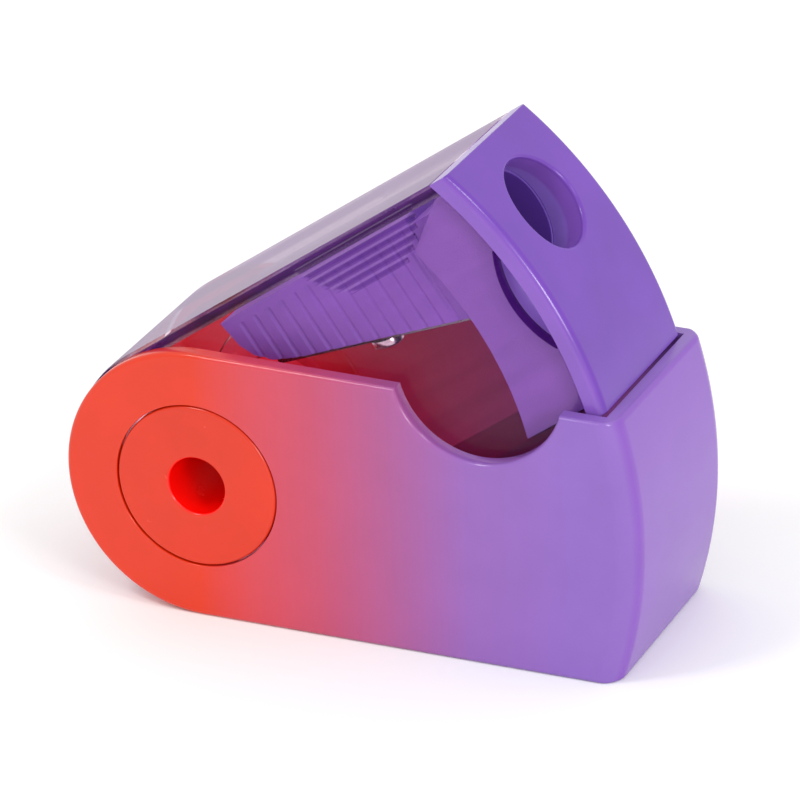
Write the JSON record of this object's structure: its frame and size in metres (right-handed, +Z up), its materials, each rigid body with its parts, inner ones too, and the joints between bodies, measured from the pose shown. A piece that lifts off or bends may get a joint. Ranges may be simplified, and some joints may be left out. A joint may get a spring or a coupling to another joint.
{
  "type": "pencil sharpener",
  "caption": "Single-hole pencil sharpener whose see-through shavings box swings up out of a round-ended plastic case.",
  "frame": {"origin": "middle of the footprint, on the surface that the case stands on", "axes": "+X from the pivot to the end wall of the case, +Y across the width, +Z up"},
  "size_m": [0.0518, 0.0204, 0.0427],
  "materials": {
    "case_plastic": "satin, orange at the pivot end fading to purple at the other",
    "pivot_plastic": "satin orange",
    "clear_plastic": "see-through purple tint, polished",
    "cap_plastic": "satin purple",
    "block_plastic": "satin purple",
    "blade_steel": "ground steel",
    "screw_steel": "bright steel"
  },
  "bodies": {
    "case": {"outer_case": "case_plastic"},
    "swing_unit": {"pivot_near": "pivot_plastic", "pivot_far": "pivot_plastic", "shavings_box": "clear_plastic", "front_cap": "cap_plastic", "sharpener_block": "block_plastic", "blade": "blade_steel", "blade_screw": "screw_steel"}
  },
  "joints": [
    {"name": "box_swing", "type": "hinge", "parent": "case", "child": "swing_unit", "pos_m": [-0.01375, 0, 0.0121], "axis": [0, -1, 0], "range_deg": [-35, 145]}
  ]
}
